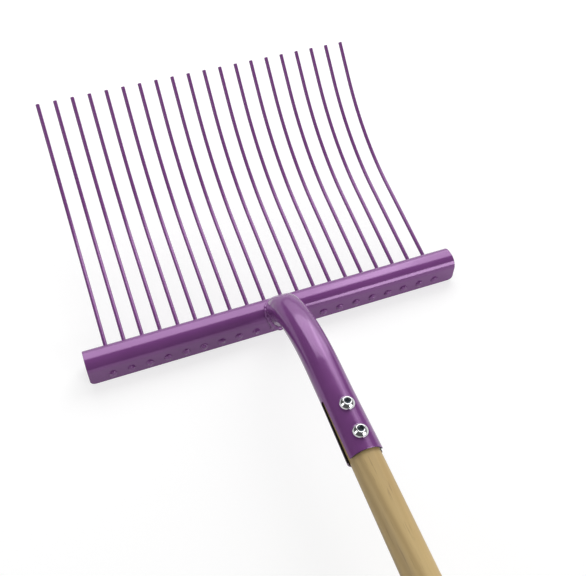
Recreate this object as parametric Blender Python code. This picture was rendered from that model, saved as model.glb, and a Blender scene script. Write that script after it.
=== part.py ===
"""A manure fork, lying on its back on the floor: bowed round tines welded through a folded steel
header, and a bent tube neck whose split socket clamps a wooden handle with two through screws.

Metres, +Z up. +X runs along the header and +Y points to the tine tips. The origin is the bottom
centre of the whole fork's box. Every piece hangs from an empty at the header's rear lower edge.
"""

import math

import bmesh
import bpy
from mathutils import Matrix, Vector

# Gap between pieces that touch or pass through each other
CLEARANCE = 0.0003

# Tines: round rods, straight out of the header, then bowed upwards, then straight to the tip
TINE_COUNT = 20
TINE_PITCH = 0.01905
TINE_DIAMETER = 0.0042
TINE_REAR_HEIGHT = 0.01115
TINE_RISE = math.radians(12.0)
TINE_STRAIGHT = 0.134
TINE_BOW_RADIUS = 0.2614
TINE_BOW = math.radians(32.0)
TINE_TIP_STRAIGHT = 0.041
TINE_TIP_CHAMFER = 0.0005
# The plug weld that holds each tine's end behind the header: it sags a little below the tine
TINE_WELD_DROP = 0.0014
TINE_WELD_EDGE = 0.0002
TINE_WELD_HEIGHT = 0.0015

# Header: an upside-down channel folded from sheet
HEADER_OVERHANG = 0.0239
HEADER_DEPTH = 0.0272
HEADER_HEIGHT = 0.0302
HEADER_BEND_RADIUS = 0.0115
HEADER_GAUGE = 0.002
HEADER_CORNER_RADIUS = 0.0055

# Neck: one tube, bent down in a long bend from the socket and then in a tight elbow over the header
NECK_DIAMETER = 0.0318
NECK_WALL = 0.0016
NECK_BEND_RADIUS = 0.1741
NECK_ELBOW_RADIUS = 0.0639
NECK_ELBOW_RISE = math.radians(25.65)
NECK_RISE = math.radians(63.24)
NECK_FOOT_FORWARD = 0.004265
NECK_FOOT_HEIGHT = 0.028981
NECK_FOOT_LENGTH = 0.024
NECK_WELD_DIAMETER = 0.0040
NECK_WELD_FRONT_DIAMETER = 0.0016
# The tight elbow's outer side is pressed flat, at this rise and this far outside the header's front bend
ELBOW_FLAT_RISE = math.radians(38.0)
ELBOW_FLAT_PROUD = 0.0010
ELBOW_FLAT_BLEND = 0.0020
SOCKET_LENGTH = 0.0922
SOCKET_FLARE = 0.0009
SOCKET_ROLL = math.radians(3.0)
SLIT_LENGTH = 0.0605
SLIT_END_WIDTH = 0.0020
SLIT_MOUTH_WIDTH = 0.0045
SLIT_OFFSET = 0.0023

# Handle: a turned wooden shaft
HANDLE_LENGTH = 1.2
HANDLE_DEPTH = 0.085
HANDLE_TAPER = 0.0045
HANDLE_GRIP_DIAMETER = 0.0318
HANDLE_GRIP_START = 0.62
HANDLE_TIP_CHAMFER = 0.0015
HANDLE_BUTT_RADIUS = 0.010

# Screws and nuts: button heads on top, plain hexagon nuts below
SCREW_DIAMETER = 0.008
SCREW_HEAD_DIAMETER = 0.014
SCREW_HEAD_HEIGHT = 0.0044
SCREW_HEAD_RIM = 0.0005
SCREW_HEAD_FLAT = 0.0076
SCREW_HEX = 0.005
SCREW_HEX_DEPTH = 0.0027
SCREW_OVERHANG = 0.002
SCREW_TIP_CHAMFER = 0.0008
SCREW_MOUTH_DISTANCE = 0.0167
SCREW_SPACING = 0.0284
NUT_WIDTH = 0.013
NUT_HEIGHT = 0.0065
NUT_CHAMFER = 0.0009

# Facets
TINE_SIDES = 12
TINE_BOW_STEPS = 7
TUBE_SIDES = 28
NECK_BEND_STEPS = 5
NECK_ELBOW_STEPS = 7
NECK_FOOT_STEPS = 3
SADDLE_STEPS = 8
BEND_STEPS = 6
DOME_STEPS = 2
CROWN_STEPS = 4
SWELL_STEPS = 4
CORNER_STEPS = 6
WELD_SIDES = 8
SCREW_SIDES = 20
SHARP_ANGLE = math.radians(35)
OVERCUT = 0.004
MERGE_DISTANCE = 0.000002
BISECT_STEPS = 40


def clear_scene():
    for obj in list(bpy.data.objects):
        bpy.data.objects.remove(obj, do_unlink=True)


def make_material(name, colour, roughness, metallic):
    material = bpy.data.materials.new(name)
    material.use_nodes = True
    shader = material.node_tree.nodes["Principled BSDF"]
    shader.inputs["Base Color"].default_value = (*colour, 1.0)
    shader.inputs["Roughness"].default_value = roughness
    shader.inputs["Metallic"].default_value = metallic
    return material


def add_empty(name, parent, location=(0, 0, 0), rotation=(0, 0, 0)):
    empty = bpy.data.objects.new(name, None)
    bpy.context.scene.collection.objects.link(empty)
    empty.parent = parent
    empty.location = location
    empty.rotation_euler = rotation
    return empty


def mesh_from(bm, name):
    """A smooth-shaded mesh, with every face turned outwards."""
    bmesh.ops.recalc_face_normals(bm, faces=bm.faces)
    mesh = bpy.data.meshes.new(name)
    bm.to_mesh(mesh)
    bm.free()
    mesh.shade_smooth()
    mesh.set_sharp_from_angle(angle=SHARP_ANGLE)
    return mesh


def add_piece(name, mesh, material, parent, location=(0, 0, 0), rotation=(0, 0, 0)):
    obj = bpy.data.objects.new(name, mesh)
    bpy.context.scene.collection.objects.link(obj)
    if not mesh.materials:
        mesh.materials.append(material)
    obj.parent = parent
    obj.location = location
    obj.rotation_euler = rotation
    return obj


def add_cutter(name, mesh, parent, location=(0, 0, 0), rotation=(0, 0, 0)):
    obj = bpy.data.objects.new(name, mesh)
    bpy.context.scene.collection.objects.link(obj)
    obj.parent = parent
    obj.location = location
    obj.rotation_euler = rotation
    obj.hide_render = True
    obj.display_type = "WIRE"
    return obj


def combine(target, other, operation):
    boolean = target.modifiers.new(operation.lower() + "_" + other.name, "BOOLEAN")
    boolean.operation = operation
    boolean.solver = "EXACT"
    boolean.object = other


def loft(bm, rings, sides, close=False):
    """Extrudes a circle through rings, given as (matrix, radius), and caps both ends. With close, the
    last ring is extruded back to the first instead, which makes a whole hoop."""
    places = [matrix @ Matrix.Diagonal((radius, radius, 1, 1)) for matrix, radius in rings]
    if close:
        places.append(places[0])
    circle = bmesh.ops.create_circle(bm, cap_ends=not close, radius=1, segments=sides, matrix=places[0])
    edges = list({edge for vert in circle["verts"] for edge in vert.link_edges})
    for place, following in zip(places, places[1:]):
        grown = bmesh.ops.extrude_edge_only(bm, edges=edges)["geom"]
        verts = [item for item in grown if isinstance(item, bmesh.types.BMVert)]
        edges = [item for item in grown if isinstance(item, bmesh.types.BMEdge)]
        bmesh.ops.transform(bm, matrix=following @ place.inverted(), verts=verts)
    if close:
        bmesh.ops.remove_doubles(bm, verts=bm.verts, dist=MERGE_DISTANCE)
    else:
        bmesh.ops.contextual_create(bm, geom=edges)


def prism(bm, outline, direction):
    """Extrudes a closed outline of points by a vector."""
    face = bm.faces.new([bm.verts.new(point) for point in outline])
    grown = bmesh.ops.extrude_face_region(bm, geom=[face])["geom"]
    bmesh.ops.translate(bm, vec=direction, verts=[g for g in grown if isinstance(g, bmesh.types.BMVert)])


def arc(centre, radius, start, turn, steps):
    """Points of an arc in a plane, both ends included."""
    points = []
    for step in range(steps + 1):
        angle = start + turn * step / steps
        points.append((centre[0] + radius * math.cos(angle), centre[1] + radius * math.sin(angle)))
    return points


def along(height, forward, rise):
    """Frame in the YZ plane whose Z axis points forward, tilted up by the rise."""
    return Matrix.Translation((0, forward, height)) @ Matrix.Rotation(rise - math.pi / 2, 4, "X")


def cylinder(bm, matrix, radius, low, high, sides):
    loft(bm, [(matrix @ Matrix.Translation((0, 0, z)), radius) for z in (low, high)], sides)


# Tines


def tine_path():
    """(forward, height, slope) from the header's rear face to the tip."""
    forward, height, slope = 0.0, TINE_REAR_HEIGHT, TINE_RISE
    stations = []
    first = HEADER_DEPTH / 2
    for length in (first, TINE_STRAIGHT - first):
        forward += length * math.cos(slope)
        height += length * math.sin(slope)
        stations.append((forward, height, slope))
    start = (forward, height)
    for step in range(1, TINE_BOW_STEPS + 1):
        slope = TINE_RISE + TINE_BOW * step / TINE_BOW_STEPS
        forward = start[0] + TINE_BOW_RADIUS * (math.sin(slope) - math.sin(TINE_RISE))
        height = start[1] + TINE_BOW_RADIUS * (math.cos(TINE_RISE) - math.cos(slope))
        stations.append((forward, height, slope))
    for length in (TINE_TIP_STRAIGHT - TINE_TIP_CHAMFER, TINE_TIP_CHAMFER):
        forward += length * math.cos(slope)
        height += length * math.sin(slope)
        stations.append((forward, height, slope))
    return stations


def tine_weld_radius():
    return TINE_DIAMETER / 2 + TINE_WELD_DROP + TINE_WELD_EDGE


def tine_weld_rings(gap):
    """Circles of the plug weld behind the header, grown all round by the gap."""
    radius = tine_weld_radius() + gap
    rear = -CLEARANCE
    height = TINE_REAR_HEIGHT - TINE_WELD_DROP
    rings = []
    for step in range(DOME_STEPS, -1, -1):
        angle = math.pi / 2 * step / (DOME_STEPS + 1)
        back = rear - (TINE_WELD_HEIGHT + gap) * math.sin(angle)
        rings.append((along(height, back, 0), radius * math.cos(angle)))
    return rings


def tine_mesh():
    radius = TINE_DIAMETER / 2
    rings = tine_weld_rings(0)
    upright = Matrix.Diagonal((1, 1 / math.cos(TINE_RISE), 1, 1))
    rings.append((along(TINE_REAR_HEIGHT, -CLEARANCE, 0) @ upright, radius))
    for forward, height, slope in tine_path():
        rings.append((along(height, forward, slope), radius))
    rings[-1] = (rings[-1][0], radius - TINE_TIP_CHAMFER)
    bm = bmesh.new()
    loft(bm, rings, TINE_SIDES)
    return mesh_from(bm, "tine")


def tine_places():
    """Where the tines stand along the header."""
    return [(index - (TINE_COUNT - 1) / 2) * TINE_PITCH for index in range(TINE_COUNT)]


def add_tines(frame, steel):
    mesh = tine_mesh()
    for index, place in enumerate(tine_places()):
        add_piece(f"tine_{index + 1:02d}", mesh, steel, frame, location=(place, 0, 0))


# Header


def header_length():
    return (TINE_COUNT - 1) * TINE_PITCH + 2 * HEADER_OVERHANG


def header_side(inset):
    """The channel's outline in (forward, height), up the rear wall, over the top and down the front,
    moved inwards by the inset."""
    radius = HEADER_BEND_RADIUS - inset
    spring = HEADER_HEIGHT - HEADER_BEND_RADIUS
    rear = arc((HEADER_BEND_RADIUS, spring), radius, math.pi, -math.pi / 2, BEND_STEPS)
    front = arc((HEADER_DEPTH - HEADER_BEND_RADIUS, spring), radius, math.pi / 2, -math.pi / 2, BEND_STEPS)
    return [(inset, 0.0)] + rear + front + [(HEADER_DEPTH - inset, 0.0)]


def header_blank(frame):
    """A plate as seen from the front, with the lower corners rounded. It trims the channel's ends."""
    half = header_length() / 2
    radius = HEADER_CORNER_RADIUS
    top = HEADER_HEIGHT + OVERCUT
    left = arc((radius - half, radius), radius, math.pi, math.pi / 2, CORNER_STEPS)
    right = arc((half - radius, radius), radius, -math.pi / 2, math.pi / 2, CORNER_STEPS)
    outline = left + right + [(half, top), (-half, top)]
    bm = bmesh.new()
    prism(bm, [Vector((x, -OVERCUT, z)) for x, z in outline], (0, HEADER_DEPTH + 2 * OVERCUT, 0))
    return add_cutter("header_blank", mesh_from(bm, "header_blank"), frame)


def tine_holes(frame):
    bm = bmesh.new()
    radius = TINE_DIAMETER / 2 + CLEARANCE
    for place in tine_places():
        direction = Matrix.Translation((place, 0, 0)) @ along(TINE_REAR_HEIGHT, 0, TINE_RISE)
        cylinder(bm, direction, radius, -OVERCUT, HEADER_DEPTH + 2 * OVERCUT, TINE_SIDES)
    return add_cutter("tine_holes", mesh_from(bm, "tine_holes"), frame)


def add_header(frame, steel):
    length = header_length() + 2 * OVERCUT
    outline = header_side(0) + header_side(HEADER_GAUGE)[::-1]
    bm = bmesh.new()
    prism(bm, [Vector((-length / 2, y, z)) for y, z in outline], (length, 0, 0))
    header = add_piece("header_channel", mesh_from(bm, "header_channel"), steel, frame)
    combine(header, header_blank(frame), "INTERSECT")
    combine(header, tine_holes(frame), "DIFFERENCE")


# Neck and socket


def neck_bore():
    return NECK_DIAMETER / 2 - NECK_WALL


def bend_place(angle):
    """(forward, height) on the neck's axis, where it runs down towards the header at this angle."""
    steep = max(angle, NECK_ELBOW_RISE)
    forward = NECK_FOOT_FORWARD - NECK_ELBOW_RADIUS * (math.sin(NECK_RISE) - math.sin(steep))
    height = NECK_FOOT_HEIGHT + NECK_ELBOW_RADIUS * (math.cos(steep) - math.cos(NECK_RISE))
    shallow = min(angle, NECK_ELBOW_RISE)
    forward -= NECK_BEND_RADIUS * (math.sin(NECK_ELBOW_RISE) - math.sin(shallow))
    height += NECK_BEND_RADIUS * (math.cos(shallow) - math.cos(NECK_ELBOW_RISE))
    return forward, height


def socket_start(drop):
    """(forward, height) where the bend runs out into the straight socket, for a handle that drops by
    this angle."""
    return bend_place(-drop)


def handle_reach():
    """Distance from the socket's start back to the handle's butt."""
    return SOCKET_LENGTH - HANDLE_DEPTH + HANDLE_LENGTH


def butt_height(drop):
    """How far above the floor the handle's rounded butt would lie, for this drop."""
    height = socket_start(drop)[1]
    flat = height - (handle_reach() - HANDLE_BUTT_RADIUS) * math.sin(drop)
    return flat - HANDLE_GRIP_DIAMETER / 2 * math.cos(drop)


def handle_drop():
    """The angle at which the handle falls away backwards, so that its butt lies on the floor."""
    low, high = 0.0, NECK_RISE
    for _ in range(BISECT_STEPS):
        middle = (low + high) / 2
        if butt_height(middle) > 0:
            low = middle
        else:
            high = middle
    return low


def bend_frame(angle):
    """Frame on the neck's axis, where the bend runs down towards the header at this angle. Z points to
    the header."""
    forward, height = bend_place(angle)
    return along(height, forward, -angle)


def foot_frame(distance):
    """Frame on the neck's axis, this far past the elbow's end at the header."""
    return bend_frame(NECK_RISE) @ Matrix.Translation((0, 0, distance))


def socket_frame(distance):
    """Frame on the socket's axis, this far behind the bend. Z points to the header."""
    return bend_frame(-handle_drop()) @ Matrix.Translation((0, 0, -distance))


def socket_growth(distance):
    """How much wider the socket's radius is than the neck's, this far behind the bend."""
    slit_start = SOCKET_LENGTH - SLIT_LENGTH
    return SOCKET_FLARE * max(0.0, distance - slit_start) / SLIT_LENGTH


def neck_stations(overcut):
    """(frame, growth of the radius) from the foot in the header to the socket's mouth, both ends made
    longer by the overcut."""
    stations = [(foot_frame(NECK_FOOT_LENGTH + overcut), 0.0)]
    for step in range(NECK_FOOT_STEPS - 1, 0, -1):
        stations.append((foot_frame(NECK_FOOT_LENGTH * step / NECK_FOOT_STEPS), 0.0))
    elbow = NECK_RISE - NECK_ELBOW_RISE
    for step in range(NECK_ELBOW_STEPS):
        stations.append((bend_frame(NECK_RISE - elbow * step / NECK_ELBOW_STEPS), 0.0))
    turn = NECK_ELBOW_RISE + handle_drop()
    for step in range(NECK_BEND_STEPS + 1):
        stations.append((bend_frame(NECK_ELBOW_RISE - turn * step / NECK_BEND_STEPS), 0.0))
    for distance in (SOCKET_LENGTH - SLIT_LENGTH, SOCKET_LENGTH + overcut):
        stations.append((socket_frame(distance), socket_growth(distance)))
    return stations


def pressed(point, inset):
    """The point, moved back onto the elbow's flat if it stands in front of it. The inset moves the flat
    inwards, for the bore."""
    facing = Vector((0, math.cos(ELBOW_FLAT_RISE), math.sin(ELBOW_FLAT_RISE)))
    centre = Vector((0, HEADER_DEPTH - HEADER_BEND_RADIUS, HEADER_HEIGHT - HEADER_BEND_RADIUS))
    excess = (point - centre).dot(facing) - (HEADER_BEND_RADIUS + ELBOW_FLAT_PROUD - inset)
    if excess >= ELBOW_FLAT_BLEND:
        return point - facing * excess
    if excess > -ELBOW_FLAT_BLEND:
        return point - facing * (excess + ELBOW_FLAT_BLEND) ** 2 / (4 * ELBOW_FLAT_BLEND)
    return point


def neck_solid(inset, overcut):
    """The neck as a solid, with its whole outside moved inwards by the inset."""
    radius = NECK_DIAMETER / 2 - inset
    bm = bmesh.new()
    loft(bm, [(matrix, radius + growth) for matrix, growth in neck_stations(overcut)], TUBE_SIDES)
    for vert in bm.verts:
        vert.co = pressed(vert.co, inset)
    return bm


def saddle_outline():
    """The outline, in (forward, height), that the neck's foot is cut to. It follows the header's rear
    wall and top, and leaves the front bend halfway down."""
    radius = HEADER_BEND_RADIUS + CLEARANCE
    spring = HEADER_HEIGHT - HEADER_BEND_RADIUS
    rear = arc((HEADER_BEND_RADIUS, spring), radius, math.pi, -math.pi / 2, SADDLE_STEPS)
    front = arc((HEADER_DEPTH - HEADER_BEND_RADIUS, spring), radius, math.pi / 2, -math.pi / 4, SADDLE_STEPS)
    return rear + front


def saddle_height(forward):
    """Height of the saddle's outline at this distance in front of the header's rear face."""
    outline = saddle_outline()
    for first, second in zip(outline, outline[1:]):
        if first[0] <= forward <= second[0]:
            return first[1] + (second[1] - first[1]) * (forward - first[0]) / (second[0] - first[0])
    return outline[-1][1]


def saddle_point(turn):
    """The point of the neck's outside, this far round from its underside, where it meets the header, and
    the direction that points away from the neck there."""
    offset = Vector((math.sin(turn), math.cos(turn), 0)) * NECK_DIAMETER / 2
    low, high = -NECK_FOOT_LENGTH, NECK_ELBOW_RADIUS * (NECK_RISE - NECK_ELBOW_RISE)
    for _ in range(BISECT_STEPS):
        middle = (low + high) / 2
        place = foot_frame(-middle) if middle < 0 else bend_frame(NECK_RISE - middle / NECK_ELBOW_RADIUS)
        point = pressed(place @ offset, 0.0)
        if point.y > -CLEARANCE and point.z < saddle_height(point.y):
            low = middle
        else:
            high = middle
    return point, point - place.translation


def neck_weld(frame):
    """The bead round the neck's foot, as a hoop that the neck is joined to. It gets thin at the front."""
    points = [saddle_point(math.tau * step / TUBE_SIDES) for step in range(TUBE_SIDES)]
    rings = []
    for index, (point, outwards) in enumerate(points):
        frontness = (1 - math.cos(math.tau * index / TUBE_SIDES)) / 2
        diameter = NECK_WELD_DIAMETER + (NECK_WELD_FRONT_DIAMETER - NECK_WELD_DIAMETER) * frontness ** 3
        tangent = (points[(index + 1) % TUBE_SIDES][0] - points[index - 1][0]).normalized()
        across = tangent.cross(outwards).normalized()
        turned = Matrix((across.cross(tangent), across, tangent)).transposed().to_4x4()
        rings.append((Matrix.Translation(point) @ turned, diameter / 2))
    bm = bmesh.new()
    loft(bm, rings, WELD_SIDES, close=True)
    return add_cutter("neck_weld", mesh_from(bm, "neck_weld"), frame)


def saddle_cutter(frame):
    """A bar the size of the header, with its clearance, that also clears all below and in front of the
    saddle."""
    half = header_length() / 2
    low = -HEADER_HEIGHT
    front = HEADER_DEPTH + NECK_DIAMETER
    outline = saddle_outline()
    outline = [(outline[0][0], low)] + outline + [(front, outline[-1][1]), (front, low)]
    bm = bmesh.new()
    prism(bm, [Vector((-half, y, z)) for y, z in outline], (2 * half, 0, 0))
    return add_cutter("saddle_cutter", mesh_from(bm, "saddle_cutter"), frame)


def tine_weld_room(frame):
    """Room in the neck's foot for the plug welds that it covers. It gets a little wider towards the
    header's rear face."""
    bm = bmesh.new()
    wide = tine_weld_radius() + 2 * CLEARANCE
    for place in tine_places():
        if abs(place) < NECK_DIAMETER / 2 + tine_weld_radius():
            shift = Matrix.Translation((place, 0, 0))
            rings = [(shift @ matrix, radius) for matrix, radius in tine_weld_rings(CLEARANCE)[:-1]]
            for forward in (0.0, OVERCUT):
                rings.append((shift @ along(TINE_REAR_HEIGHT - TINE_WELD_DROP, forward, 0), wide))
            loft(bm, rings, TINE_SIDES)
    return add_cutter("tine_weld_room", mesh_from(bm, "tine_weld_room"), frame)


def slit_cutter(axis):
    """One wedge through both sides of the socket: it leaves an upper and a lower tongue."""
    half_end = SLIT_END_WIDTH / 2
    closed = -(SOCKET_LENGTH - SLIT_LENGTH) - half_end
    mouth = -SOCKET_LENGTH - OVERCUT
    middle = SLIT_OFFSET + half_end
    outline = arc((closed, middle), half_end, math.pi / 2, -math.pi, CORNER_STEPS)
    outline += [(mouth, SLIT_OFFSET), (mouth, SLIT_OFFSET + SLIT_MOUTH_WIDTH)]
    half = NECK_DIAMETER
    bm = bmesh.new()
    prism(bm, [Vector((-half, y, z)) for y, z in outline], (2 * half, 0, 0))
    return add_cutter("slit_cutter", mesh_from(bm, "slit_cutter"), axis, rotation=(0, SOCKET_ROLL, 0))


def screw_places():
    """Distances of the two screws behind the bend, front one first."""
    rear = SOCKET_LENGTH - SCREW_MOUTH_DISTANCE
    return (rear - SCREW_SPACING, rear)


def on_socket(place, height=0.0):
    """Location on the rolled socket, this far behind the bend and this high above its axis."""
    return Matrix.Rotation(SOCKET_ROLL, 4, "Y") @ Vector((0, -place, height))


def screw_holes(axis):
    reach = NECK_DIAMETER
    radius = SCREW_DIAMETER / 2 + CLEARANCE
    bm = bmesh.new()
    for place in screw_places():
        cylinder(bm, Matrix.Translation((0, -place, 0)), radius, -reach, reach, SCREW_SIDES)
    return add_cutter("screw_holes", mesh_from(bm, "screw_holes"), axis, rotation=(0, SOCKET_ROLL, 0))


def add_neck(frame, axis, holes, steel):
    neck = add_piece("neck_socket", mesh_from(neck_solid(0.0, 0.0), "neck_socket"), steel, frame)
    bore = mesh_from(neck_solid(NECK_WALL, OVERCUT), "neck_bore")
    combine(neck, neck_weld(frame), "UNION")
    combine(neck, add_cutter("neck_bore", bore, frame), "DIFFERENCE")
    combine(neck, slit_cutter(axis), "DIFFERENCE")
    combine(neck, holes, "DIFFERENCE")
    combine(neck, tine_weld_room(frame), "DIFFERENCE")
    combine(neck, saddle_cutter(frame), "DIFFERENCE")


# Handle


def handle_seat_radius(distance):
    """Radius of the tapered end that the socket holds, this far behind the bend. It fits the bore where
    the slits begin."""
    return neck_bore() - CLEARANCE + HANDLE_TAPER * (distance - (SOCKET_LENGTH - SLIT_LENGTH))


def handle_profile():
    """(distance behind the bend, radius) from the tip inside the neck to the butt."""
    tip = SOCKET_LENGTH - HANDLE_DEPTH
    butt = handle_reach()
    grip = HANDLE_GRIP_DIAMETER / 2
    grip_start = tip + HANDLE_LENGTH * HANDLE_GRIP_START
    mouth_radius = handle_seat_radius(SOCKET_LENGTH)
    points = [(tip, handle_seat_radius(tip) - HANDLE_TIP_CHAMFER)]
    points.append((tip + HANDLE_TIP_CHAMFER, handle_seat_radius(tip + HANDLE_TIP_CHAMFER)))
    points.append((SOCKET_LENGTH, mouth_radius))
    for step in range(1, SWELL_STEPS + 1):
        share = step / SWELL_STEPS
        distance = SOCKET_LENGTH + (grip_start - SOCKET_LENGTH) * share
        points.append((distance, mouth_radius + (grip - mouth_radius) * math.sin(share * math.pi / 2)))
    rounding = HANDLE_BUTT_RADIUS
    points += arc((butt - rounding, grip - rounding), rounding, math.pi / 2, -math.pi / 2, CORNER_STEPS)
    return points


def add_handle(axis, holes, wood):
    backwards = Matrix.Rotation(math.pi / 2, 4, "X")
    rings = []
    for distance, radius in handle_profile():
        rings.append((Matrix.Translation((0, -distance, 0)) @ backwards, radius))
    bm = bmesh.new()
    loft(bm, rings, TUBE_SIDES)
    handle = add_piece("handle_shaft", mesh_from(bm, "handle_shaft"), wood, axis)
    combine(handle, holes, "DIFFERENCE")


# Screws and nuts


def hexagon(bm, width, low, high):
    corner = width / math.sqrt(3)
    loft(bm, [(Matrix.Translation((0, 0, z)), corner) for z in (low, high)], 6)


def seat_height(place):
    """Height of the tongue's outside above the socket's axis at a screw, with the clearance."""
    return NECK_DIAMETER / 2 + socket_growth(place) + CLEARANCE


def hex_recess(axis, place, head_top):
    bm = bmesh.new()
    hexagon(bm, SCREW_HEX, head_top - SCREW_HEX_DEPTH, head_top + OVERCUT)
    return add_cutter("hex_recess", mesh_from(bm, "hex_recess"), axis, on_socket(place), (0, SOCKET_ROLL, 0))


def add_screw(name, place, axis, chrome):
    seat = seat_height(place)
    shank = SCREW_DIAMETER / 2
    rim = SCREW_HEAD_DIAMETER / 2
    flat = SCREW_HEAD_FLAT / 2
    tip = -seat - NUT_HEIGHT - SCREW_OVERHANG
    profile = [(tip, shank - SCREW_TIP_CHAMFER), (tip + SCREW_TIP_CHAMFER, shank), (seat, shank), (seat, rim)]
    crown = SCREW_HEAD_HEIGHT - SCREW_HEAD_RIM
    for step in range(CROWN_STEPS + 1):
        angle = math.pi / 2 * step / CROWN_STEPS
        height = seat + SCREW_HEAD_RIM + crown * math.sin(angle)
        profile.append((height, flat + (rim - flat) * math.cos(angle)))
    bm = bmesh.new()
    loft(bm, [(Matrix.Translation((0, 0, z)), radius) for z, radius in profile], SCREW_SIDES)
    screw = add_piece(name, mesh_from(bm, name), chrome, axis, on_socket(place), (0, SOCKET_ROLL, 0))
    combine(screw, hex_recess(axis, place, seat + SCREW_HEAD_HEIGHT), "DIFFERENCE")


def nut_tools():
    """Round body that chamfers a nut's corners, and its bore."""
    corner = NUT_WIDTH / math.sqrt(3)
    profile = [(0, corner - NUT_CHAMFER), (NUT_CHAMFER / 2, corner), (NUT_HEIGHT - NUT_CHAMFER / 2, corner),
               (NUT_HEIGHT, corner - NUT_CHAMFER)]
    turned = bmesh.new()
    loft(turned, [(Matrix.Translation((0, 0, -z)), radius) for z, radius in profile], SCREW_SIDES)
    radius = SCREW_DIAMETER / 2 + CLEARANCE
    bore = bmesh.new()
    cylinder(bore, Matrix.Identity(4), radius, -NUT_HEIGHT - OVERCUT, OVERCUT, SCREW_SIDES)
    return mesh_from(turned, "nut_blank"), mesh_from(bore, "nut_bore")


def add_nut(name, place, axis, chrome):
    bm = bmesh.new()
    hexagon(bm, NUT_WIDTH, -NUT_HEIGHT, 0)
    location = on_socket(place, -seat_height(place))
    rotation = (0, SOCKET_ROLL, 0)
    nut = add_piece(name, mesh_from(bm, name), chrome, axis, location, rotation)
    blank, bore = nut_tools()
    combine(nut, add_cutter(name + "_blank", blank, axis, location, rotation), "INTERSECT")
    combine(nut, add_cutter(name + "_bore", bore, axis, location, rotation), "DIFFERENCE")


# The whole fork


def fork_middle():
    """How far the middle of the fork's length lies in front of the header's rear face."""
    forward, _, slope = tine_path()[-1]
    front = forward + (TINE_DIAMETER / 2 - TINE_TIP_CHAMFER) * math.sin(slope)
    drop = handle_drop()
    start = socket_start(drop)[0]
    rear = min(start - distance * math.cos(drop) - radius * math.sin(drop)
               for distance, radius in handle_profile())
    return (front + rear) / 2


def main():
    clear_scene()
    paint = make_material("purple_paint", (0.145, 0.040, 0.170), 0.25, 0.0)
    wood = make_material("ash_wood", (0.46, 0.33, 0.17), 0.55, 0.0)
    chrome = make_material("chrome", (0.72, 0.73, 0.75), 0.12, 1.0)
    drop = handle_drop()
    frame = add_empty("header_rear_edge", None, location=(0, -fork_middle(), 0))
    axis = add_empty("socket_axis", frame, location=(0, *socket_start(drop)), rotation=(drop, 0, 0))
    holes = screw_holes(axis)
    add_header(frame, paint)
    add_tines(frame, paint)
    add_neck(frame, axis, holes, paint)
    add_handle(axis, holes, wood)
    for label, place in zip(("front", "rear"), screw_places()):
        add_screw(f"screw_{label}", place, axis, chrome)
        add_nut(f"nut_{label}", place, axis, chrome)


main()
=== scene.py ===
"""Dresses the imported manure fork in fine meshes, gloss paint, wood and chrome, on a white floor."""

import math

import bmesh
import bpy
from mathutils import Matrix, Vector, noise


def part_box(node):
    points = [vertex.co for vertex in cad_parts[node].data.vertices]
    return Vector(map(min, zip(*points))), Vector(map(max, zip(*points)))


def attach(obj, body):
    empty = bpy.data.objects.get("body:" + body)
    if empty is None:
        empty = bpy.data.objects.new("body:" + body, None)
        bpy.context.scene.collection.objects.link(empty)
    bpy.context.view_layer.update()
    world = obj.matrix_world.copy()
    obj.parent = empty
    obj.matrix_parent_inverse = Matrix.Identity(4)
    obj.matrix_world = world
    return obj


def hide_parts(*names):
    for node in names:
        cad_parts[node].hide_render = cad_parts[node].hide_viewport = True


bl_info = {
    "name": "Manure fork",
    "version": (1, 0, 0),
    "blender": (4, 5, 0),
    "location": "View3D > Sidebar > Fork",
    "description": "Builds the pieces and the studio of a manure fork round its packed solids",
    "category": "Object",
}

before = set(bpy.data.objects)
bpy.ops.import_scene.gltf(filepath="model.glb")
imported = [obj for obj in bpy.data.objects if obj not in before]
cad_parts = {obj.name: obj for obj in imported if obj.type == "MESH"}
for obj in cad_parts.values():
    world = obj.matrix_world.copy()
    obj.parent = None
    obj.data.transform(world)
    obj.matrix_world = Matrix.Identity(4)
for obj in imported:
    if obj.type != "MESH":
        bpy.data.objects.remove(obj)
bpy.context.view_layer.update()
HEADER_LOW, HEADER_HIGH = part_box("header_channel")
HEADER_DEPTH = HEADER_HIGH.y - HEADER_LOW.y
TINE_NODES = sorted(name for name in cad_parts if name.startswith("tine_"))
SCREW_NODES = ("screw_front", "screw_rear")
NUT_NODES = ("nut_front", "nut_rear")

# Steps along curves, and facets round small pieces
BOW_STEPS = 28
TIP_STEPS = 3
FOLD_STEPS = 14
CORNER_STEPS = 10
SADDLE_STEPS = 16
FOOT_STEPS = 6
ELBOW_STEPS = 26
BEND_STEPS = 24
SOCKET_STEPS = 12
SLIT_STEPS = 12
HOLE_SIDES = 40
BEAD_STEPS = 180
BEAD_SIDES = 16
HANDLE_STEPS = 24
BUTT_STEPS = 12
SCREW_SIDES = 72
CROWN_STEPS = 14
RING_STEPS = 8
THREAD_STEPS = 44

# Rounding of the header's edges and of the socket's mouth
STEEL_EDGE = 0.0004

# Lumps of the plug welds: how many to a metre, how high, and what makes each weld differ
WELD_LUMPS = 420
WELD_LUMP = 0.0008
WELD_VARIETY = 7.3

# The bead's ripples and lumps, as shares of its thickness
BEAD_RIPPLES = 20
BEAD_LUMPS = 130
BEAD_LEAST = 0.80
BEAD_RIPPLE = 0.24
BEAD_LUMP = 0.12

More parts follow.
